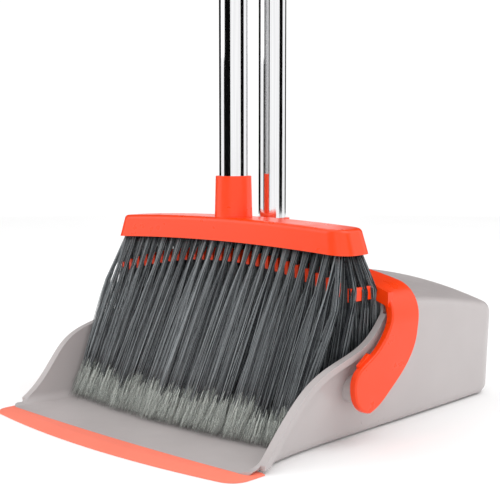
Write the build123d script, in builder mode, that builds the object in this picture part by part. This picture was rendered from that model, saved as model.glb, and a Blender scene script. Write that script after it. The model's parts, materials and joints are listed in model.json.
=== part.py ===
"""Upright dustpan and broom set: open-fronted bin pan, swinging yoke handle, clipped-on broom.

Frame: millimetres, +Z up, floor at Z = 0, the open mouth of the pan faces -Y, +X is the right side.
The origin is the middle of the footprint, on the floor.
"""
from build123d import *
import os
from math import cos, radians, sin, sqrt

# ---- driving dimensions -------------------------------------------------------------------------
TUBE_R = 12.5                 # both handles are 25 mm tube
TUBE_WALL = 0.5
BROOM_Y = -31.0               # axis of the broom's tube
HANDLE_Y = 19.5               # axis of the dustpan's tube
FIT = 0.05                    # radial clearance of pushed-in and turning fits
GAP = 0.3                     # clearance between bodies that move past each other

# pan
WALL = 2.4
FLOOR = 3.2
PAN_REAR = 197.0
MOUTH_FRONT = -172.6          # middle of the floor's bowed front edge
MOUTH_BOW = 4.2
MOUTH_HALF = 148.0
MOUTH_CORNER = 14.0
HOOD_FRONT = -1.0             # plane of the hood's front edge
REAR_ROUND = (32.0, 30.0, 8.0)    # rounding of the back: sides, top, bottom
REAR_TURNS = (0, 22, 45, 68, 88)  # angles round the back at which sections are drawn
PAN_STATIONS = [              # y, half width at the floor and the eaves, eaves, crown, eaves radius
    (-180.0, 150.0, 150.0, 109.0, 117.0, 24.0),
    (-157.0, 147.0, 149.0, 109.0, 117.0, 24.0),
    (-123.0, 139.0, 158.0, 109.0, 117.0, 24.0),
    (-81.0, 135.5, 155.5, 109.0, 117.0, 24.0),
    (-31.0, 135.0, 150.0, 108.8, 117.0, 24.0),
    (HOOD_FRONT, 135.0, 146.4, 108.4, 117.0, 25.0),
    (28.0, 135.0, 144.5, 107.4, 116.6, 27.0),
    (57.0, 135.0, 142.8, 104.8, 115.8, 29.0),
    (85.0, 134.9, 141.4, 101.4, 114.6, 31.0),
    (112.0, 134.7, 140.1, 97.4, 113.1, 33.0),
    (140.0, 134.4, 138.7, 92.6, 111.2, 35.0),
    (PAN_REAR - REAR_ROUND[0], 134.0, 137.2, 88.0, 109.2, 37.0),
]
FOOT_R = 9.0
RIM_SIDE = [(-157.0, 4.0), (-131.0, 27.0), (-103.0, 55.0), (-61.0, 70.0),
            (-29.0, 81.0), (-11.0, 97.0), (HOOD_FRONT, 113.0)]
RIM_FLANGE = 4.2              # how far the rim stands out from the wall
RIM_DROP = 5.0                # how far down and back the rim's band reaches
RIM_TOP = 100.0               # the band stops here, under the yoke's shoulder
CLEAR_Z = 150.0               # above the pan
CLEAR_FRONT = -220.0          # in front of the pan
REACH = 250.0                 # cuts run this far, past the widest piece

# soft lip
LIP_FRONT = -197.0
LIP_BOW = 13.8
LIP_HALF = 150.0
LIP_CORNER = 16.0
LIP_END = -153.0
LIP_T = 3.0
LIP_TIP_T = 0.8
LIP_BEVEL = 14.0
LIP_TONGUE = 12.0
LIP_TONGUE_H = 1.5
LIP_TONGUE_HALF = 142.0

# pivot of the yoke on the pan
PIVOT_Y = -43.0
PIVOT_Z = 44.0
HUB_R = 11.5
HUB_FACE = 153.4
HUB_INNER = 138.0
POCKET_R = 8.8
POCKET_FACE = 141.5
BOSS_R = 6.0
WASHER_R = 8.0
WASHER_T = 1.2
SCREW_R = 2.0
SCREW_L = 10.0
SCREW_HEAD_R = 4.0
SCREW_HEAD_H = 2.4

# yoke
YOKE_OUTER = 160.2
YOKE_INNER = HUB_FACE + GAP
YOKE_T = YOKE_OUTER - YOKE_INNER
YOKE_EAVES = 117.0
YOKE_CROWN = 139.5
YOKE_CORNER_R = 32.0
ARM_FRONT = [(-60.5, 45.0), (-56.5, 60.0), (-42.0, 68.5), (-25.5, 79.5), (-15.5, 92.5),
             (-8.5, 112.0), (-3.0, 134.0), (-1.5, 144.0)]
ARM_REAR = [(30.8, 144.0), (30.0, 134.0), (27.0, 112.0), (23.4, 92.0), (20.5, 77.6), (13.3, 64.5),
            (0.0, 51.0), (-15.0, 39.8), (-30.0, 30.0), (-41.0, 26.0)]
ARM_TOE = (-55.0, 32.5)
TAB_POINTS = [(-50.0, 59.0), (-36.0, 68.0), (-40.0, 73.0), (-52.5, 65.0)]    # catch on the arm's edge
TAB_T = 3.2
YOKE_EDGE_R = 1.5
SOCKET_TOP = 169.5
SOCKET_R = 15.8
SOCKET_FLOOR = 142.0
THREAD_H = 11.0
THREAD_CORE_R = 11.7
THREAD_PITCH = 3.0
THREAD_TURN_R = 0.7
SOCKET_WALL_TAPER = 1.5

# comb inside the yoke
TEETH = 26
TOOTH_PITCH = 11.1
TOOTH_W = 3.6
TOOTH_H = 11.0
TOOTH_TIP = BROOM_Y - 11.5
COMB_FRONT = BROOM_Y + 19.5
COMB_BACK = BROOM_Y + 25.5
COMB_TOP_Z = 140.0            # middle of the bar on the centre line
COMB_ARCH_R = 439.0
COMB_H = 11.0

# broom head
HEAD_HALF = 140.0
HEAD_DEPTH = 43.0
HEAD_TOP_HALF = 132.0
HEAD_TOP_DEPTH = 36.0
HEAD_LOW_MID = 153.0
HEAD_LOW_END = 148.5
HEAD_TOP_MID = 173.0
HEAD_TOP_END = 168.3
HEAD_CORNER = 15.0
HEAD_TOP_CORNER = 13.0
HEAD_WALL = 2.5
HEAD_EDGE_R = 4.0
HEAD_SOCKET_R = 16.9
BLOCK_T = 7.0
HEAD_SOCKET_TOP = 208.8
HEAD_SOCKET_FLOOR = 163.5
HEAD_THREAD_H = 14.5

# bristle tufts
TUFT_BASE_R = 3.2
TUFT_TIP_R = 4.2
TUFT_TIP_Z = FLOOR + 1.2
TUFT_ROWS = {                 # node: columns, pitch, y at the head and at the tips, from the tube's axis
    "bristles_front": (25, 10.7, -12.0, -82.0),
    "bristles_mid_front": (23, TOOTH_PITCH, -4.0, -38.0),
    "bristles_mid_rear": (23, TOOTH_PITCH, 4.0, 1.0),
    "bristles_rear": (23, TOOTH_PITCH, 12.0, 26.0),
}
TUFT_ROOT = 5.0
TUFT_NECK = 0.5               # straight length of a tuft under the block
HEAD_SCREW_X = 72.15
HEAD_POST_R = 4.0
HEAD_SCREW_R = 1.5
HEAD_SCREW_L = 12.0
HEAD_SCREW_HEAD_R = 3.0
HEAD_SCREW_HEAD_H = 2.0

# handles
BROOM_JOINTS = (520.0, 860.0)
BROOM_TUBE_TOP = 1290.0
BROOM_TOP = 1330.0
PAN_JOINT = 520.0
PAN_TUBE_TOP = 900.0
PAN_TOP = 940.0
GRIP_LENGTH = 130.0
GRIP_R = 15.0
SPIGOT_L = 24.0
COLLAR_H = 3.0
COUPLER_BORE_R = 8.5
HANG_HOLE_R = 5.0
HANG_TAB_T = 10.0
CLIP_Z = 640.0
CLIP_H = 28.0
CLIP_WALL = 3.5
CLIP_MOUTH = 16.0
CLIP_FLARE = 14.0             # how much wider the mouth opens
CLIP_FLARE_ANGLE = 60.0
CLIP_BRIDGE = 12.0


def pan_profile(y, floor_half, eaves_half, eaves, crown, eaves_r, inset, base):
    """Closed cross-section of the pan's body at one depth, drawn on an XZ plane."""
    with BuildSketch(Plane.XZ.offset(-y)) as profile:
        with BuildLine():
            low_right = (floor_half - inset, base)
            high_right = (eaves_half - inset, eaves - inset)
            high_left = (-high_right[0], high_right[1])
            low_left = (-low_right[0], base)
            Polyline(high_left, low_left, low_right, high_right)
            ThreePointArc(high_right, (0, crown - inset), high_left)
        make_face()
        corners = profile.vertices().group_by(Axis.Z)
        fillet(corners[0], FOOT_R - inset / 2)
        fillet(corners[-1], eaves_r - inset)
    return profile.sketch


def pan_sections(inset, base):
    """Sections of the pan from the mouth to where its back begins to round off."""
    return [pan_profile(*station, inset, base) for station in PAN_STATIONS]


def back_sections(inset, base):
    """Sections of the pan's rounded back."""
    y, floor_half, eaves_half, eaves, crown, eaves_r = PAN_STATIONS[-1]
    side, top, foot = REAR_ROUND
    sections = []
    for angle in REAR_TURNS:
        turn = 1 - cos(radians(angle))
        sections.append(pan_profile(
            y + (side - inset) * sin(radians(angle)), floor_half - side * turn,
            eaves_half - side * turn, eaves - top * turn, crown - top * turn,
            eaves_r, inset, base + foot * turn))
    return sections


def mouth_outline(front, bow, half, corner):
    """Plan outline with a bowed front edge and rounded front corners, open far to the rear."""
    with BuildSketch() as outline:
        with BuildLine():
            side = front + bow
            ThreePointArc((-half, side), (0, front), (half, side))
            Polyline((half, side), (half, PAN_REAR + 10), (-half, PAN_REAR + 10), (-half, side))
        make_face()
        fillet(outline.vertices().group_by(Axis.Y)[0], corner)
    return outline.sketch


def above_rim(drop, front):
    """Side view of the space above the rim's curve and behind a front limit, with the curve
    first moved back and down by a drop."""
    curve = [(y + drop, z - drop) for y, z in RIM_SIDE]
    with BuildSketch(Plane.YZ) as area:
        with BuildLine():
            edge = Spline(*curve)
            Polyline(edge @ 1, (curve[-1][0], CLEAR_Z), (front, CLEAR_Z), (front, curve[0][1]), edge @ 0)
        make_face()
    return area.sketch


def behind(y):
    """Everything behind a depth, in plan."""
    with BuildSketch() as area:
        with Locations((0, y)):
            Rectangle(2 * REACH, 2 * REACH, align=(Align.CENTER, Align.MIN))
    return area.sketch


def tube(name, y, low, high):
    """Thin stainless tube along Z."""
    with BuildPart() as part:
        with BuildSketch(Plane.XY.offset(low)):
            with Locations((0, y)):
                Circle(TUBE_R)
                Circle(TUBE_R - TUBE_WALL, mode=Mode.SUBTRACT)
        extrude(amount=high - low)
    save(part, name)


def coupler(name, y, z):
    """Plastic joint between two tubes: a flush collar with a spigot each way."""
    with BuildPart() as part:
        with BuildSketch(Plane.XY.offset(z)):
            with Locations((0, y)):
                Circle(TUBE_R)
        extrude(amount=COLLAR_H)
        with BuildSketch(Plane.XY.offset(z - SPIGOT_L)):
            with Locations((0, y)):
                Circle(TUBE_R - TUBE_WALL - FIT)
        extrude(amount=2 * SPIGOT_L + COLLAR_H)
        with BuildSketch(Plane.XY.offset(z - SPIGOT_L)):
            with Locations((0, y)):
                Circle(COUPLER_BORE_R)
        extrude(amount=2 * SPIGOT_L + COLLAR_H, mode=Mode.SUBTRACT)
    save(part, name)


def threaded_plug(name, y, low, shoulder):
    """Plastic end of a handle: a threaded length in the socket and a spigot in the tube."""
    with BuildPart() as part:
        with BuildSketch(Plane.XY.offset(low)):
            with Locations((0, y)):
                Circle(THREAD_CORE_R)
        extrude(amount=shoulder - low)
        with BuildSketch(Plane.XY.offset(shoulder)):
            with Locations((0, y)):
                Circle(TUBE_R - TUBE_WALL - FIT)
        extrude(amount=SPIGOT_L)
        # rounded thread turns
        for turn in range(int((shoulder - low) // THREAD_PITCH)):
            with BuildSketch(Plane.XZ.offset(-y)):
                with Locations((THREAD_CORE_R, low + (turn + 0.5) * THREAD_PITCH)):
                    Circle(THREAD_TURN_R)
            revolve(axis=Axis((0, y, 0), (0, 0, 1)))
    save(part, name)


def grip(name, y, top):
    """Hollow soft grip over the top of a tube, waisted for the hand."""
    low = top - GRIP_LENGTH
    with BuildPart() as part:
        with BuildSketch(Plane.YZ):
            with BuildLine():
                inner = y + TUBE_R + FIT
                Polyline((inner, top), (inner, low), (y + GRIP_R - 1, low))
                Spline((y + GRIP_R - 1, low), (y + GRIP_R, low + 8), (y + GRIP_R - 1, low + 60),
                       (y + GRIP_R + 1.5, top - 10), (y + GRIP_R, top))
                Line((y + GRIP_R, top), (inner, top))
            make_face()
        revolve(axis=Axis((0, y, 0), (0, 0, 1)))
    save(part, name)


def end_cap(name, y, low, top):
    """Cap that closes the grip, with a flat tab and a hanging hole."""
    with BuildPart() as part:
        with BuildSketch(Plane.XY.offset(low - SPIGOT_L)):
            with Locations((0, y)):
                Circle(TUBE_R - TUBE_WALL - FIT)
        extrude(amount=SPIGOT_L)
        with BuildSketch(Plane.XY.offset(low)):
            with Locations((0, y)):
                Circle(GRIP_R)
        extrude(amount=8)
        with BuildSketch(Plane.XZ.offset(-y)):
            with Locations((0, top - GRIP_R)):
                Circle(GRIP_R - 1)
            with Locations((0, (low + top - GRIP_R) / 2)):
                Rectangle(2 * GRIP_R - 2, top - GRIP_R - low)
        extrude(amount=HANG_TAB_T / 2, both=True)
        fillet(part.edges().filter_by(GeomType.CIRCLE).group_by(Axis.Z)[-1], 2.0)
        with BuildSketch(Plane.XZ.offset(-y)):
            with Locations((0, top - GRIP_R)):
                Circle(HANG_HOLE_R)
        extrude(amount=GRIP_R, both=True, mode=Mode.SUBTRACT)
    save(part, name)


def save(part, name):
    """Label a finished piece and write it."""
    part.part.label = name
    export_step(part.part, f"parts/{name}.step")


os.makedirs("parts", exist_ok=True)

# ---- pan ----------------------------------------------------------------------------------------
mouth = mouth_outline(MOUTH_FRONT, MOUTH_BOW, MOUTH_HALF, MOUTH_CORNER)

with BuildPart() as rim_flange:
    loft(pan_sections(-RIM_FLANGE, -RIM_FLANGE))
    extrude(above_rim(0.0, CLEAR_FRONT), amount=REACH, both=True, mode=Mode.SUBTRACT)
    extrude(above_rim(RIM_DROP, LIP_END), amount=REACH, both=True, mode=Mode.INTERSECT)
    with BuildSketch(Plane.XY.offset(LIP_T + GAP)):
        Rectangle(2 * REACH, 2 * REACH)
    extrude(amount=-REACH, mode=Mode.SUBTRACT)
    with BuildSketch(Plane.XY.offset(RIM_TOP)):
        Rectangle(2 * REACH, 2 * REACH)
    extrude(amount=REACH, mode=Mode.SUBTRACT)

with BuildPart() as pan_shell:
    loft(pan_sections(0.0, 0.0))
    loft(back_sections(0.0, 0.0))
    extrude(mouth, amount=REACH, mode=Mode.INTERSECT)
    add(rim_flange.part)
    loft(pan_sections(WALL, FLOOR), mode=Mode.SUBTRACT)
    loft(back_sections(WALL, FLOOR), mode=Mode.SUBTRACT)
    extrude(above_rim(0.0, CLEAR_FRONT), amount=REACH, both=True, mode=Mode.SUBTRACT)
    # pivot hubs, each with a pocket for the washer and screw inside
    for side in (1, -1):
        hub = Plane(origin=(side * HUB_INNER, PIVOT_Y, PIVOT_Z), z_dir=(side, 0, 0))
        with BuildSketch(hub):
            Circle(HUB_R)
        extrude(amount=HUB_FACE - HUB_INNER)
        with BuildSketch(hub.offset(POCKET_FACE - HUB_INNER)):
            Circle(POCKET_R)
        extrude(amount=-POCKET_R, mode=Mode.SUBTRACT)
        with BuildSketch(hub):
            Circle(BOSS_R + FIT)
        extrude(amount=HUB_FACE - HUB_INNER, mode=Mode.SUBTRACT)
    # rebate under the front edge for the lip's tongue
    with BuildSketch(Plane.XY):
        Rectangle(2 * LIP_HALF, 2 * REACH)
        add(mouth_outline(MOUTH_FRONT + LIP_TONGUE, MOUTH_BOW, LIP_TONGUE_HALF, MOUTH_CORNER),
            mode=Mode.SUBTRACT)
        add(behind(LIP_END), mode=Mode.SUBTRACT)
    extrude(amount=LIP_TONGUE_H, mode=Mode.SUBTRACT)
save(pan_shell, "pan_shell")

with BuildPart() as lip_strip:
    with BuildSketch(Plane.XY):
        add(mouth_outline(LIP_FRONT, LIP_BOW, LIP_HALF, LIP_CORNER))
        add(mouth, mode=Mode.SUBTRACT)
        add(behind(LIP_END), mode=Mode.SUBTRACT)
    extrude(amount=LIP_T)
    front_edge = lip_strip.faces().sort_by(Axis.Z)[-1].edges().sort_by(Axis.Y)[0]
    chamfer(front_edge, LIP_T - LIP_TIP_T, LIP_BEVEL)
    with BuildSketch(Plane.XY):
        add(mouth)
        add(mouth_outline(MOUTH_FRONT + LIP_TONGUE - GAP, MOUTH_BOW, LIP_TONGUE_HALF, MOUTH_CORNER),
            mode=Mode.SUBTRACT)
        add(behind(LIP_END), mode=Mode.SUBTRACT)
    extrude(amount=LIP_TONGUE_H)
save(lip_strip, "lip_strip")

# ---- yoke and what turns with it ----------------------------------------------------------------


def arch_outline(inset):
    """Front view of the yoke's outline, closed far below the arms."""
    half = YOKE_OUTER - inset
    eaves = YOKE_EAVES - inset
    with BuildSketch() as outline:
        with BuildLine():
            Polyline((-half, eaves), (-half, 0), (half, 0), (half, eaves))
            ThreePointArc((half, eaves), (0, YOKE_CROWN - inset), (-half, eaves))
        make_face()
        fillet(outline.vertices().group_by(Axis.Y)[-1], YOKE_CORNER_R - inset)
    return outline.sketch


with BuildPart() as yoke:
    with BuildSketch(Plane.XZ.offset(-PIVOT_Y + REACH / 2)):
        add(arch_outline(0))
        add(arch_outline(YOKE_T), mode=Mode.SUBTRACT)
    extrude(amount=-REACH)
    with BuildSketch(Plane.YZ.offset(-REACH)):
        with BuildLine():
            Spline(*ARM_FRONT)
            Line(ARM_FRONT[-1], ARM_REAR[0])
            Spline(*ARM_REAR)
            ThreePointArc(ARM_REAR[-1], ARM_TOE, ARM_FRONT[0])
        make_face()
    extrude(amount=2 * REACH, mode=Mode.INTERSECT)
    fillet(yoke.edges().filter_by(lambda edge: edge.length > 100), YOKE_EDGE_R)
    for side in (1, -1):
        with BuildSketch(Plane.YZ.offset(side * YOKE_INNER)):
            Polygon(*TAB_POINTS, align=None)
        extrude(amount=side * TAB_T)
    # socket for the dustpan's tube
    with BuildSketch(Plane.XY.offset(SOCKET_FLOOR - 5)):
        with Locations((0, HANDLE_Y)):
            Circle(SOCKET_R + 1)
    extrude(amount=SOCKET_TOP - SOCKET_FLOOR + 5, taper=SOCKET_WALL_TAPER)
    with BuildSketch(Plane.XY.offset(SOCKET_FLOOR)):
        with Locations((0, HANDLE_Y)):
            Circle(TUBE_R + FIT)
    extrude(amount=SOCKET_TOP - SOCKET_FLOOR + 1, mode=Mode.SUBTRACT)
    for side in (1, -1):
        boss = Plane(origin=(side * POCKET_FACE, PIVOT_Y, PIVOT_Z), z_dir=(side, 0, 0))
        with BuildSketch(boss):
            Circle(BOSS_R)
        extrude(amount=YOKE_OUTER - POCKET_FACE - 1)
        with BuildSketch(boss):
            Circle(SCREW_R + FIT)
        extrude(amount=SCREW_L, mode=Mode.SUBTRACT)
save(yoke, "yoke")

with BuildPart() as comb:
    with BuildSketch(Plane.XZ.offset(-COMB_FRONT)):
        with Locations((0, COMB_TOP_Z - COMB_ARCH_R)):
            Circle(COMB_ARCH_R + COMB_H / 2)
            Circle(COMB_ARCH_R - COMB_H / 2, mode=Mode.SUBTRACT)
        Rectangle(2 * YOKE_INNER, 2 * REACH, mode=Mode.INTERSECT)
    extrude(amount=COMB_FRONT - COMB_BACK)
    add(yoke.part, mode=Mode.SUBTRACT)
    for index in range(TEETH):
        x = (index - (TEETH - 1) / 2) * TOOTH_PITCH
        z = COMB_TOP_Z - COMB_ARCH_R + sqrt(COMB_ARCH_R ** 2 - x ** 2)
        with BuildSketch(Plane.XZ.offset(-TOOTH_TIP)):
            with Locations((x, z)):
                RectangleRounded(TOOTH_W, TOOTH_H, 0.6)
        extrude(amount=TOOTH_TIP - COMB_FRONT)
save(comb, "comb")

with BuildPart() as pivot_washers:
    for side in (1, -1):
        with BuildSketch(Plane(origin=(side * POCKET_FACE, PIVOT_Y, PIVOT_Z), z_dir=(-side, 0, 0))):
            Circle(WASHER_R)
            Circle(SCREW_R + FIT, mode=Mode.SUBTRACT)
        extrude(amount=WASHER_T)
save(pivot_washers, "pivot_washers")

with BuildPart() as pivot_screws:
    for side in (1, -1):
        seat = Plane(origin=(side * (POCKET_FACE - WASHER_T), PIVOT_Y, PIVOT_Z), z_dir=(-side, 0, 0))
        with BuildSketch(seat):
            Circle(SCREW_HEAD_R)
        extrude(amount=SCREW_HEAD_H)
        with BuildSketch(seat.offset(SCREW_HEAD_H - 1)):
            Rectangle(SCREW_HEAD_R * 1.2, 1.0)
            Rectangle(1.0, SCREW_HEAD_R * 1.2)
        extrude(amount=2, mode=Mode.SUBTRACT)
        with BuildSketch(seat):
            Circle(SCREW_R)
        extrude(amount=-SCREW_L)
save(pivot_screws, "pivot_screws")

pan_shoulder = SOCKET_FLOOR + THREAD_H
threaded_plug("pan_tube_plug", HANDLE_Y, SOCKET_FLOOR, pan_shoulder)
tube("pan_tube_lower", HANDLE_Y, pan_shoulder, PAN_JOINT)
coupler("pan_tube_coupler", HANDLE_Y, PAN_JOINT)
tube("pan_tube_upper", HANDLE_Y, PAN_JOINT + COLLAR_H, PAN_TUBE_TOP)
grip("pan_grip", HANDLE_Y, PAN_TUBE_TOP)
end_cap("pan_end_cap", HANDLE_Y, PAN_TUBE_TOP, PAN_TOP)

with BuildPart() as tube_clip:
    with BuildSketch(Plane.XY.offset(CLIP_Z)):
        with Locations((0, HANDLE_Y), (0, BROOM_Y)):
            Circle(TUBE_R + CLIP_WALL)
        with Locations((0, (HANDLE_Y + BROOM_Y) / 2)):
            Rectangle(CLIP_BRIDGE, HANDLE_Y - BROOM_Y - 2 * TUBE_R)
        with Locations((0, HANDLE_Y)):
            Circle(TUBE_R + FIT, mode=Mode.SUBTRACT)
        with Locations((0, BROOM_Y)):
            Circle(TUBE_R + GAP, mode=Mode.SUBTRACT)
        with Locations((0, BROOM_Y - TUBE_R - CLIP_WALL)):
            Trapezoid(CLIP_MOUTH + CLIP_FLARE, CLIP_MOUTH, CLIP_FLARE_ANGLE, rotation=180,
                      mode=Mode.SUBTRACT)
    extrude(amount=CLIP_H)
    with BuildSketch(Plane.XZ.offset(-HANDLE_Y)):
        with Locations((0, CLIP_Z + CLIP_H / 2)):
            Circle(SCREW_R + FIT)
    extrude(amount=-CLIP_H, mode=Mode.SUBTRACT)
save(tube_clip, "tube_clip")

with BuildPart() as clip_screw:
    seat = Plane(origin=(0, HANDLE_Y + TUBE_R + CLIP_WALL, CLIP_Z + CLIP_H / 2), z_dir=(0, 1, 0))
    with BuildSketch(seat):
        Circle(SCREW_HEAD_R)
    extrude(amount=SCREW_HEAD_H)
    with BuildSketch(seat):
        Circle(SCREW_R)
    extrude(amount=-CLIP_WALL)
save(clip_screw, "clip_screw")

# ---- broom --------------------------------------------------------------------------------------


def head_band(low_rise, drop):
    """Front view band between the head's two arched faces, with each face moved by an offset."""
    wide = HEAD_HALF + 2
    with BuildSketch(Plane.XZ.offset(-BROOM_Y)) as band:
        with BuildLine():
            low = ThreePointArc((-wide, HEAD_LOW_END + low_rise), (0, HEAD_LOW_MID + low_rise),
                                (wide, HEAD_LOW_END + low_rise))
            high = ThreePointArc((wide, HEAD_TOP_END - drop), (0, HEAD_TOP_MID - drop),
                                 (-wide, HEAD_TOP_END - drop))
            Line(low @ 1, high @ 0)
            Line(high @ 1, low @ 0)
        make_face()
    return band.sketch


def head_sections(inset):
    """Bottom and top outlines of the tapered broom head."""
    sections = []
    for z, half, depth, corner in (
            (HEAD_LOW_END - 1, HEAD_HALF, HEAD_DEPTH, HEAD_CORNER),
            (HEAD_TOP_MID + 1, HEAD_TOP_HALF, HEAD_TOP_DEPTH, HEAD_TOP_CORNER)):
        with BuildSketch(Plane.XY.offset(z)) as outline:
            with Locations((0, BROOM_Y)):
                RectangleRounded(2 * (half - inset), depth - 2 * inset, corner - inset)
        sections.append(outline.sketch)
    return sections


def block_low(x):
    """Height of the tuft block's arched underside."""
    return HEAD_LOW_MID + 1 - (HEAD_LOW_MID - HEAD_LOW_END) * (x / (HEAD_HALF + 2)) ** 2


def tuft_spots(row):
    """Positions of a row's tufts across the head."""
    columns, pitch = TUFT_ROWS[row][:2]
    return [(column - (columns - 1) / 2) * pitch for column in range(columns)]


with BuildPart() as head_cavity:
    loft(head_sections(HEAD_WALL))
    extrude(head_band(-8.0, HEAD_WALL), amount=60, both=True, mode=Mode.INTERSECT)

with BuildPart() as head_cap:
    loft(head_sections(0.0))
    extrude(head_band(0.0, 0.0), amount=60, both=True, mode=Mode.INTERSECT)
    fillet(head_cap.faces().sort_by(Axis.Z)[-1].edges(), HEAD_EDGE_R)
    add(head_cavity.part, mode=Mode.SUBTRACT)
    with BuildSketch(Plane.XY.offset(HEAD_SOCKET_FLOOR - 2)):
        with Locations((0, BROOM_Y)):
            Circle(HEAD_SOCKET_R)
    extrude(amount=HEAD_SOCKET_TOP - HEAD_SOCKET_FLOOR + 2, taper=SOCKET_WALL_TAPER)
    with BuildSketch(Plane.XY.offset(HEAD_SOCKET_FLOOR)):
        with Locations((0, BROOM_Y)):
            Circle(TUBE_R + FIT)
    extrude(amount=HEAD_SOCKET_TOP - HEAD_SOCKET_FLOOR + 1, mode=Mode.SUBTRACT)
    with BuildSketch(Plane.XY.offset(block_low(HEAD_SCREW_X) + BLOCK_T + GAP)):
        with Locations((-HEAD_SCREW_X, BROOM_Y), (HEAD_SCREW_X, BROOM_Y)):
            Circle(HEAD_POST_R)
            Circle(HEAD_SCREW_R + FIT, mode=Mode.SUBTRACT)
    extrude(amount=HEAD_TOP_MID - HEAD_WALL - block_low(HEAD_SCREW_X) - BLOCK_T)
save(head_cap, "head_cap")

with BuildPart() as tuft_block:
    loft(head_sections(HEAD_WALL + GAP))
    block_drop = HEAD_TOP_MID - HEAD_LOW_MID - 1 - BLOCK_T
    extrude(head_band(1.0, block_drop), amount=60, both=True, mode=Mode.INTERSECT)
    for row, (_, _, head_y, _) in TUFT_ROWS.items():
        for x in tuft_spots(row):
            with BuildSketch(Plane.XY.offset(block_low(x) - 2)):
                with Locations((x, BROOM_Y + head_y)):
                    Circle(TUFT_BASE_R + FIT)
            extrude(amount=TUFT_ROOT + 2, mode=Mode.SUBTRACT)
    screw_seat = block_low(HEAD_SCREW_X) + HEAD_SCREW_HEAD_H
    with BuildSketch(Plane.XY.offset(screw_seat)):
        with Locations((-HEAD_SCREW_X, BROOM_Y), (HEAD_SCREW_X, BROOM_Y)):
            Circle(HEAD_SCREW_HEAD_R + FIT)
    extrude(amount=-BLOCK_T, mode=Mode.SUBTRACT)
    with BuildSketch(Plane.XY.offset(screw_seat)):
        with Locations((-HEAD_SCREW_X, BROOM_Y), (HEAD_SCREW_X, BROOM_Y)):
            Circle(HEAD_SCREW_R + FIT)
    extrude(amount=2 * BLOCK_T, mode=Mode.SUBTRACT)
save(tuft_block, "tuft_block")

with BuildPart() as head_screws:
    with BuildSketch(Plane.XY.offset(screw_seat)):
        with Locations((-HEAD_SCREW_X, BROOM_Y), (HEAD_SCREW_X, BROOM_Y)):
            Circle(HEAD_SCREW_HEAD_R)
    extrude(amount=-HEAD_SCREW_HEAD_H)
    with BuildSketch(Plane.XY.offset(screw_seat)):
        with Locations((-HEAD_SCREW_X, BROOM_Y), (HEAD_SCREW_X, BROOM_Y)):
            Circle(HEAD_SCREW_R)
    extrude(amount=HEAD_SCREW_L)
save(head_screws, "head_screws")

for row, (_, _, head_y, tip_y) in TUFT_ROWS.items():
    with BuildPart() as tufts:
        for x in tuft_spots(row):
            neck = block_low(x) - TUFT_NECK
            with BuildSketch(Plane.XY.offset(neck)):
                with Locations((x, BROOM_Y + head_y)):
                    Circle(TUFT_BASE_R)
            extrude(amount=TUFT_ROOT + GAP)
            with BuildSketch(Plane.XY.offset(neck)):
                with Locations((x, BROOM_Y + head_y)):
                    Circle(TUFT_BASE_R)
            with BuildSketch(Plane.XY.offset(TUFT_TIP_Z)):
                with Locations((x, BROOM_Y + tip_y)):
                    Circle(TUFT_TIP_R)
            loft()
    save(tufts, row)

head_shoulder = HEAD_SOCKET_FLOOR + HEAD_THREAD_H
low_joint, high_joint = BROOM_JOINTS
threaded_plug("broom_tube_plug", BROOM_Y, HEAD_SOCKET_FLOOR, head_shoulder)
tube("broom_tube_lower", BROOM_Y, head_shoulder, low_joint)
coupler("broom_coupler_lower", BROOM_Y, low_joint)
tube("broom_tube_middle", BROOM_Y, low_joint + COLLAR_H, high_joint)
coupler("broom_coupler_upper", BROOM_Y, high_joint)
tube("broom_tube_upper", BROOM_Y, high_joint + COLLAR_H, BROOM_TUBE_TOP)
grip("broom_grip", BROOM_Y, BROOM_TUBE_TOP)
end_cap("broom_end_cap", BROOM_Y, BROOM_TUBE_TOP, BROOM_TOP)
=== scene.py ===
"""Visual model of an upright dustpan and broom set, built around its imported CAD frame."""

import json
import math

import bpy
import numpy as np
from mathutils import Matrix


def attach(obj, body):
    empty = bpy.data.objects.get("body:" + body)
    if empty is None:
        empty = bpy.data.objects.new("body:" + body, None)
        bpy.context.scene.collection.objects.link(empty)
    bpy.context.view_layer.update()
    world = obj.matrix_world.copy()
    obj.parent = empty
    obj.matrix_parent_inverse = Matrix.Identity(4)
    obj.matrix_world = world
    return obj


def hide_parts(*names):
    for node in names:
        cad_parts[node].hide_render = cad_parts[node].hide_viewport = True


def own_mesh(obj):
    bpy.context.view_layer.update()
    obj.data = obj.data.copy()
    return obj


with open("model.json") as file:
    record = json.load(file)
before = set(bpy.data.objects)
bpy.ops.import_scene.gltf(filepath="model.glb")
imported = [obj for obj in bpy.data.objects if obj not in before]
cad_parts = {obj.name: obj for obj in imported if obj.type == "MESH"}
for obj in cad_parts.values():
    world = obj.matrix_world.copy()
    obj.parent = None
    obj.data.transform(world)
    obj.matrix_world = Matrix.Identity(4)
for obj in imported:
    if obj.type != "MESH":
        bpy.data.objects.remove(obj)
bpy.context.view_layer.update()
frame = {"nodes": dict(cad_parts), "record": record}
nodes = frame["nodes"]
record = frame["record"]
slot_of = {row["node"]: row["material_slot"] for row in record["subparts"]}

# ---- camera: the viewing angle is right of the mouth, a little above the head -------------------
CAMERA_AT = (0.6464, -0.6935, 0.2372)
CAMERA_TURN = (math.radians(84.2), 0.0, math.radians(43.4))
CAMERA_LENS = 75.7

scene = bpy.context.scene
scene.view_settings.view_transform = "Standard"
camera = bpy.data.objects.new("camera", bpy.data.cameras.new("camera"))
scene.collection.objects.link(camera)
camera.location = CAMERA_AT
camera.rotation_euler = CAMERA_TURN
camera.data.lens = CAMERA_LENS
camera.data.sensor_width = 36.0
camera.data.clip_start = 0.01
camera.data.clip_end = 100.0
scene.camera = camera


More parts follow.
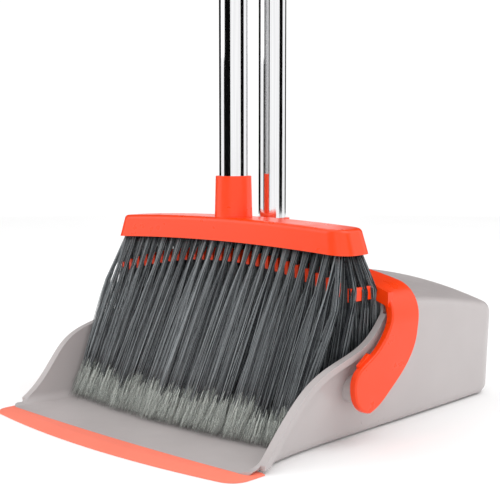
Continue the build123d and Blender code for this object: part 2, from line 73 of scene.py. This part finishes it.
# ---- materials ----------------------------------------------------------------------------------
def new_material(name):
    """A node material with a Principled shader; returns it with its tree and shader."""
    material = bpy.data.materials.new(name)
    material.use_nodes = True
    tree = material.node_tree
    return material, tree, tree.nodes["Principled BSDF"]


def noise(tree, scale, detail=4.0, stretch=(1.0, 1.0, 1.0)):
    """Noise over the object's own coordinates, in metres, with a stretch along each axis."""
    coords = tree.nodes.new("ShaderNodeTexCoord")
    mapping = tree.nodes.new("ShaderNodeMapping")
    mapping.inputs["Scale"].default_value = stretch
    texture = tree.nodes.new("ShaderNodeTexNoise")
    texture.inputs["Scale"].default_value = scale
    texture.inputs["Detail"].default_value = detail
    tree.links.new(coords.outputs["Object"], mapping.inputs["Vector"])
    tree.links.new(mapping.outputs["Vector"], texture.inputs["Vector"])
    return texture.outputs["Fac"]


def ramp(tree, source, stops):
    """Colour ramp fed by a value; stops are (position, colour)."""
    node = tree.nodes.new("ShaderNodeValToRGB")
    elements = node.color_ramp.elements
    while len(elements) < len(stops):
        elements.new(0.5)
    for element, (position, colour) in zip(elements, stops):
        element.position = position
        element.color = (*colour, 1.0)
    tree.links.new(source, node.inputs["Fac"])
    return node.outputs["Color"]


def scaled(colour, factor):
    """A colour made lighter or darker."""
    return tuple(min(1.0, channel * factor) for channel in colour)


def map_range(tree, source, low, high):
    """Noise value spread over a range."""
    node = tree.nodes.new("ShaderNodeMapRange")
    node.inputs["From Min"].default_value = 0.3
    node.inputs["From Max"].default_value = 0.7
    node.inputs["To Min"].default_value = low
    node.inputs["To Max"].default_value = high
    tree.links.new(source, node.inputs["Value"])
    return node.outputs["Result"]


def bump(tree, shader, source, strength, distance):
    """Fine relief on the shader's normal."""
    node = tree.nodes.new("ShaderNodeBump")
    node.inputs["Strength"].default_value = strength
    node.inputs["Distance"].default_value = distance
    tree.links.new(source, node.inputs["Height"])
    tree.links.new(node.outputs["Normal"], shader.inputs["Normal"])


def moulded(name, colour, rough, grain, relief, spread=0.03, coat=0.0):
    """Moulded plastic or rubber: slight cloudy colour, uneven gloss and a fine surface grain."""
    material, tree, shader = new_material(name)
    cloud = noise(tree, 14.0, 3.0)
    colours = [(0.35, scaled(colour, 1 - spread)), (0.65, scaled(colour, 1 + spread))]
    tree.links.new(ramp(tree, cloud, colours), shader.inputs["Base Color"])
    gloss = map_range(tree, noise(tree, 60.0, 5.0), rough - 0.04, rough + 0.05)
    tree.links.new(gloss, shader.inputs["Roughness"])
    bump(tree, shader, noise(tree, grain, 3.0), relief, 0.0004)
    shader.inputs["Coat Weight"].default_value = coat
    shader.inputs["Coat Roughness"].default_value = 0.12
    return material


def polished_steel(name):
    """Polished stainless tube with faint marks drawn along its length."""
    material, tree, shader = new_material(name)
    shader.inputs["Metallic"].default_value = 1.0
    streaks = noise(tree, 900.0, 3.0, (1.0, 1.0, 0.01))
    tones = [(0.3, (0.80, 0.80, 0.81)), (0.7, (0.90, 0.90, 0.91))]
    tree.links.new(ramp(tree, streaks, tones), shader.inputs["Base Color"])
    tree.links.new(map_range(tree, streaks, 0.03, 0.09), shader.inputs["Roughness"])
    bump(tree, shader, noise(tree, 350.0, 3.0, (1.0, 1.0, 0.02)), 0.03, 0.0002)
    return material


def zinc_steel(name):
    """Plated screw steel."""
    material, tree, shader = new_material(name)
    shader.inputs["Metallic"].default_value = 1.0
    grain = noise(tree, 700.0, 4.0)
    tree.links.new(ramp(tree, grain, [(0.3, (0.42, 0.42, 0.43)), (0.7, (0.62, 0.62, 0.61))]),
                   shader.inputs["Base Color"])
    tree.links.new(map_range(tree, grain, 0.25, 0.42), shader.inputs["Roughness"])
    bump(tree, shader, grain, 0.1, 0.0002)
    return material


def filament(name, dark, pale, rough):
    """Bristle plastic, whose tone differs from strand to strand."""
    material, tree, shader = new_material(name)
    tone = tree.nodes.new("ShaderNodeAttribute")
    tone.attribute_name = "tone"
    tree.links.new(ramp(tree, tone.outputs["Fac"], [(0.0, dark), (1.0, pale)]),
                   shader.inputs["Base Color"])
    gloss = map_range(tree, noise(tree, 200.0, 3.0), rough - 0.06, rough + 0.06)
    tree.links.new(gloss, shader.inputs["Roughness"])
    bump(tree, shader, noise(tree, 2500.0, 2.0, (1.0, 1.0, 0.05)), 0.15, 0.0001)
    return material


MATERIALS = {
    "pan_grey": moulded("pan_grey", (0.485, 0.448, 0.445), 0.34, 1800.0, 0.015),
    "lip_salmon": moulded("lip_salmon", (1.0, 0.225, 0.145), 0.55, 900.0, 0.08),
    "orange": moulded("orange", (0.98, 0.052, 0.0), 0.30, 2200.0, 0.02, 0.02),
    "block_dark": moulded("block_dark", (0.030, 0.032, 0.036), 0.5, 900.0, 0.15),
    "coupler_dark": moulded("coupler_dark", (0.020, 0.020, 0.021), 0.4, 900.0, 0.1),
    "grip_grey": moulded("grip_grey", (0.300, 0.275, 0.268), 0.65, 700.0, 0.35),
    "tube_steel": polished_steel("tube_steel"),
    "screw_steel": zinc_steel("screw_steel"),
    "bristle": filament("bristle", (0.009, 0.012, 0.017), (0.36, 0.39, 0.405), 0.3),
    "flag": filament("flag", (0.10, 0.12, 0.11), (0.88, 0.92, 0.86), 0.5),
}

for node, part in nodes.items():
    part.data.materials.clear()
    part.data.materials.append(MATERIALS[slot_of[node]])


# ---- bristles -----------------------------------------------------------------------------------
BROOM_Y = -0.031
HEAD_LOW_MID = 0.154
HEAD_LOW_SAG = 0.0045
HEAD_HALF = 0.142
TIP_Z = 0.0046
COMB_MID = 0.1345             # underside of the comb's teeth in the middle, and how far it drops
COMB_DROP = 0.0225
COMB_HALF = 0.139
ROWS = {                      # CAD node: tufts, pitch, y at the head and tips, strands, clump radius
    "bristles_front": (27, 0.0107, -0.012, -0.082, 74, 0.0017),
    "bristles_mid_front": (27, 0.0111, -0.004, -0.038, 84, 0.0034),
    "bristles_mid_rear": (27, 0.0111, 0.004, 0.001, 84, 0.0037),
    "bristles_rear": (27, 0.0111, 0.012, 0.026, 84, 0.0037),
}
STRAND_R = 0.00024
ROOT_R = 0.0031
TIP_SPREAD = 0.0074
ROOT_LIMIT = 0.1285           # the end tufts start inside the head, then pass outside the last tooth
TIP_LIMIT = 0.1265
WALL_LOW = 0.1305             # strands stay inside the pan's walls, which lean outward
WALL_LEAN = 0.11
STRAND_RINGS = 10
FLAGS = 4                     # split ends on each strand
FLAG_R = 0.00012
FLAG_RINGS = 5
FLAG_LENGTH = 0.027
SIDES = 3
INTO_HEAD = 0.001             # how far strands start inside the head
BOW_MID = -0.003              # the tips' line bows: forward in the middle, back at the ends
BOW_END = 0.012
RING_BUNCH = 1.25             # rings lie closer together near the head
SPREAD_CURVE = 0.55           # below the comb a tuft spreads fast, then slowly
TIP_CURVE = 1.5
LEVEL_TUFT = 0.0022           # how uneven the start of the split ends is, by tuft and by strand
LEVEL_STRAND = 0.006
SWAY = 0.0009
LEAN = 0.0014
WALL_JITTER = 0.003
FLAG_SHORTEST = 0.72
FLAG_FAN = 0.0022
FLAG_FAN_CURVE = 1.3
FLAG_CRIMP = 0.00055
FLAG_TIP = 0.55               # a split end's radius at its tip, as a share


def strand_mesh(name, paths, radii, tones):
    """One mesh of thin closed filaments: paths are (strand, ring, xyz), radii (strand, ring)."""
    count, rings, _ = paths.shape
    turn = np.arange(SIDES) * 2 * np.pi / SIDES
    around = np.stack([np.cos(turn), np.sin(turn), np.zeros(SIDES)], 1)
    points = paths[:, :, None, :] + radii[:, :, None, None] * around
    index = np.arange(count * rings * SIDES).reshape(count, rings, SIDES)
    beside = np.roll(index, -1, 2)
    walls = np.stack([index[:, :-1], index[:, 1:], beside[:, 1:], beside[:, :-1]], -1)
    faces = walls.reshape(-1, 4).tolist()
    faces += index[:, 0, :].tolist()
    faces += index[:, -1, ::-1].tolist()
    mesh = bpy.data.meshes.new(name)
    mesh.from_pydata(points.reshape(-1, 3).tolist(), [], faces)
    mesh.shade_smooth()
    layer = mesh.attributes.new("tone", "FLOAT", "POINT")
    layer.data.foreach_set("value", np.repeat(tones, rings * SIDES).astype(np.float32))
    piece = bpy.data.objects.new(name, mesh)
    scene.collection.objects.link(piece)
    return piece


def tuft_paths(rng, x, head_y, tip_y, count, clump):
    """Centre lines of one tuft's strands, from the head to where their ends split."""
    end = (x / COMB_HALF) ** 2
    top = HEAD_LOW_MID - HEAD_LOW_SAG * (x / HEAD_HALF) ** 2 + INTO_HEAD
    bow = BOW_MID + BOW_END * end
    angle = rng.uniform(0, 2 * np.pi, count)
    reach = np.sqrt(rng.uniform(0, 1, count))
    side_x, side_y = reach * np.cos(angle), reach * np.sin(angle)
    low = TIP_Z + FLAG_LENGTH + rng.normal(0, LEVEL_TUFT) + rng.uniform(-LEVEL_STRAND, LEVEL_STRAND, count)
    t = np.linspace(0, 1, STRAND_RINGS)[None, :] ** RING_BUNCH
    z = top + (low[:, None] - top) * t
    fall = (top - z) / (top - TIP_Z)
    comb_z = COMB_MID - COMB_DROP * end
    above = np.clip((z - comb_z) / (top - comb_z), 0, 1)
    below = np.clip((comb_z - z) / comb_z, 0, 1)
    spread = clump + (ROOT_R - clump) * above + (TIP_SPREAD - clump) * below ** SPREAD_CURVE
    root_x, tip_x = np.clip(x, -ROOT_LIMIT, ROOT_LIMIT), np.clip(x, -TIP_LIMIT, TIP_LIMIT)
    middle_x = x + (root_x - x) * above + (tip_x - x) * below ** TIP_CURVE
    sway = rng.normal(0, SWAY, count)[:, None] * np.sin(np.pi * below)
    lean = rng.normal(0, LEAN, (2, count, 1)) * below
    px = middle_x + side_x[:, None] * spread + sway + lean[0]
    wall = WALL_LOW + WALL_LEAN * z - rng.uniform(0, WALL_JITTER, count)[:, None]
    px = np.clip(px, -wall, wall)
    py = BROOM_Y + head_y + (tip_y - head_y + bow) * fall + side_y[:, None] * spread + lean[1]
    return np.stack([px, py, z], -1)


def flag_paths(rng, ends, headings):
    """Split and crimped ends that carry on from the strands' lower ends."""
    count = len(ends)
    t = np.linspace(0, 1, FLAG_RINGS)[None, :, None]
    length = (ends[:, 2] - TIP_Z) * rng.uniform(FLAG_SHORTEST, 1.0, count)
    run = headings * (length / -headings[:, 2])[:, None]
    away = rng.normal(0, 1, (count, 3)) * (FLAG_FAN, FLAG_FAN, 0.0)
    crimp = rng.normal(0, FLAG_CRIMP, (count, FLAG_RINGS, 3)) * (1, 1, 0) * t
    return ends[:, None, :] + run[:, None, :] * t + away[:, None, :] * t ** FLAG_FAN_CURVE + crimp


def make_row(node, seed):
    """Strands and split ends of one row of tufts."""
    rng = np.random.default_rng(seed)
    columns, pitch, head_y, tip_y, count, clump = ROWS[node]
    paths, tones = [], []
    for column in range(columns):
        x = (column - (columns - 1) / 2) * pitch
        paths.append(tuft_paths(rng, x, head_y, tip_y, count, clump))
        tones.append(np.clip(rng.beta(0.7, 1.0, count) + rng.normal(0, 0.09), 0, 1))
    paths, tones = np.concatenate(paths), np.concatenate(tones)
    radii = np.full(paths.shape[:2], STRAND_R) * rng.uniform(0.8, 1.15, (len(paths), 1))
    strands = strand_mesh(f"{node}_strands", paths, radii, tones)
    strands.data.materials.append(MATERIALS["bristle"])

    ends = np.repeat(paths[:, -1], FLAGS, 0)
    headings = np.repeat(paths[:, -1] - paths[:, -2], FLAGS, 0)
    splits = flag_paths(rng, ends, headings)
    taper = np.linspace(1.0, FLAG_TIP, FLAG_RINGS)[None, :]
    flag_radii = np.full(splits.shape[:2], FLAG_R) * taper
    flags = strand_mesh(f"{node}_flags", splits, flag_radii, rng.uniform(0, 1, len(splits)))
    flags.data.materials.append(MATERIALS["flag"])
    return strands, flags


for seed, node in enumerate(ROWS):
    strands, flags = make_row(node, seed + 11)
    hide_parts(node)
    for piece in (strands, flags):
        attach(piece, "broom")
        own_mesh(piece)

# ---- studio -------------------------------------------------------------------------------------
WORLD_LIGHT = 1.06
FLOOR = 30.0
FLOOR_Z = -0.0002             # just under the pan
CARD_RADIUS = 2.6
CARD_TOP = 4.5
CARD_STEPS = 16
CARD_LOW = 0.001
CARDS = ((-128, -70), (13, 39), (83, 126), (143, 196))    # degrees round the object, from +X


def make_mesh(name, verts, faces, material):
    """A plain mesh object."""
    mesh = bpy.data.meshes.new(name)
    mesh.from_pydata(verts, [], faces)
    mesh.materials.append(material)
    thing = bpy.data.objects.new(name, mesh)
    scene.collection.objects.link(thing)
    return thing


floor_material, floor_tree, floor_shader = new_material("floor_pale")
floor_tones = [(0.3, (0.965, 0.965, 0.965)), (0.7, (0.985, 0.985, 0.985))]
floor_tree.links.new(ramp(floor_tree, noise(floor_tree, 3.0, 2.0), floor_tones),
                     floor_shader.inputs["Base Color"])
floor_shader.inputs["Roughness"].default_value = 0.7
floor_shader.inputs["Specular IOR Level"].default_value = 0.15
floor = make_mesh("floor", [(-FLOOR, -FLOOR, FLOOR_Z), (FLOOR, -FLOOR, FLOOR_Z),
                            (FLOOR, FLOOR, FLOOR_Z), (-FLOOR, FLOOR, FLOOR_Z)],
                  [(0, 1, 2, 3)], floor_material)

card_material, card_tree, card_shader = new_material("card_black")
card_shader.inputs["Base Color"].default_value = (0.004, 0.004, 0.004, 1)
card_shader.inputs["Roughness"].default_value = 1.0
card_shader.inputs["Specular IOR Level"].default_value = 0.0
for number, (start, end) in enumerate(CARDS):
    verts = []
    for step in range(CARD_STEPS + 1):
        angle = math.radians(start + (end - start) * step / CARD_STEPS)
        x, y = CARD_RADIUS * math.cos(angle), CARD_RADIUS * math.sin(angle)
        verts += [(x, y, CARD_LOW), (x, y, CARD_TOP)]
    faces = [(2 * i, 2 * i + 2, 2 * i + 3, 2 * i + 1) for i in range(CARD_STEPS)]
    card = make_mesh(f"card_{number}", verts, faces, card_material)
    card.visible_camera = False
    card.visible_diffuse = False
    card.visible_shadow = False
    card.visible_transmission = False

world = bpy.data.worlds.new("studio")
scene.world = world
world.use_nodes = True
background = world.node_tree.nodes["Background"]
background.inputs["Color"].default_value = (1.0, 1.0, 1.0, 1.0)
background.inputs["Strength"].default_value = WORLD_LIGHT


def soft_box(name, location, target, size, power):
    """Area light aimed at a point."""
    light = bpy.data.lights.new(name, "AREA")
    light.shape = "RECTANGLE"
    light.size, light.size_y = size
    light.energy = power
    lamp = bpy.data.objects.new(name, light)
    scene.collection.objects.link(lamp)
    lamp.location = location
    direction = [t - p for t, p in zip(target, location)]
    flat = math.hypot(direction[0], direction[1])
    lamp.rotation_euler = (math.atan2(flat, -direction[2]), 0.0,
                           math.atan2(direction[1], direction[0]) - math.pi / 2)
    return lamp


soft_box("key", (0.9, 0.5, 1.5), (0.0, 0.0, 0.1), (0.9, 0.9), 6.0)
soft_box("fill", (-1.2, -1.2, 1.0), (0.0, 0.0, 0.1), (1.2, 1.2), 4.0)
